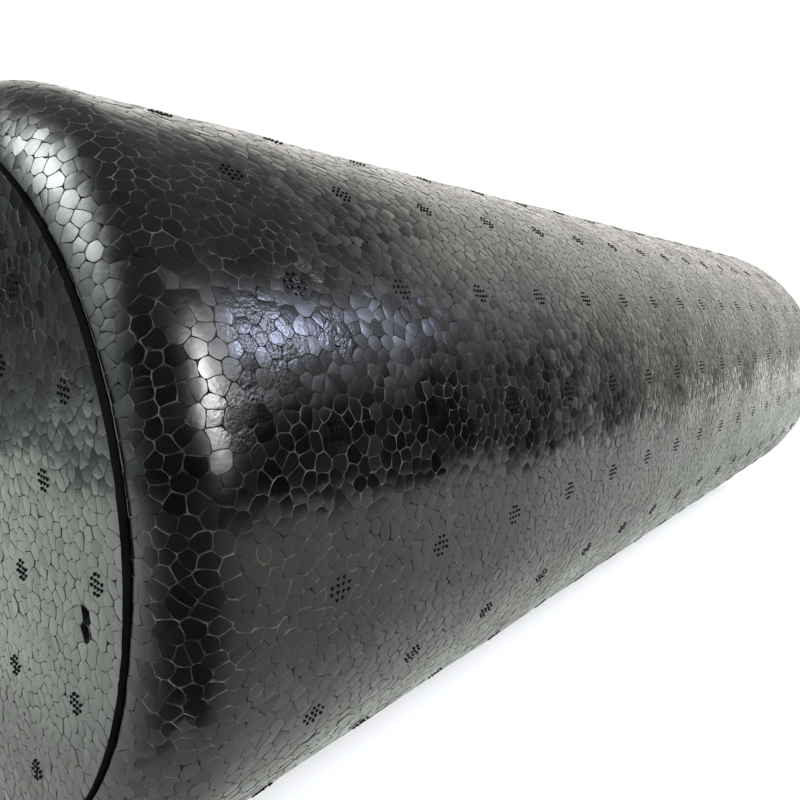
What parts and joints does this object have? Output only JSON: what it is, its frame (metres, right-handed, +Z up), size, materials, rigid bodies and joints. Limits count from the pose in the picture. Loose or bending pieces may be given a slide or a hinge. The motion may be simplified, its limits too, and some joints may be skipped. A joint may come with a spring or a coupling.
{
  "type": "foam roller",
  "caption": "Solid black bead-foam massage roller: a hard straight cylinder with rounded rims and a flat inset disc at each end.",
  "frame": {"origin": "on the resting surface, under the middle of the roller lying on its side", "axes": "+X along the roller's axis towards the far end, +Z up, +Y sideways"},
  "size_m": [0.4572, 0.1524, 0.1524],
  "materials": {
    "epp_body": "satin",
    "epp_disc": "satin"
  },
  "bodies": {
    "root": {"roller_body": "epp_body", "near_end_disc": "epp_disc", "far_end_disc": "epp_disc"}
  },
  "joints": []
}
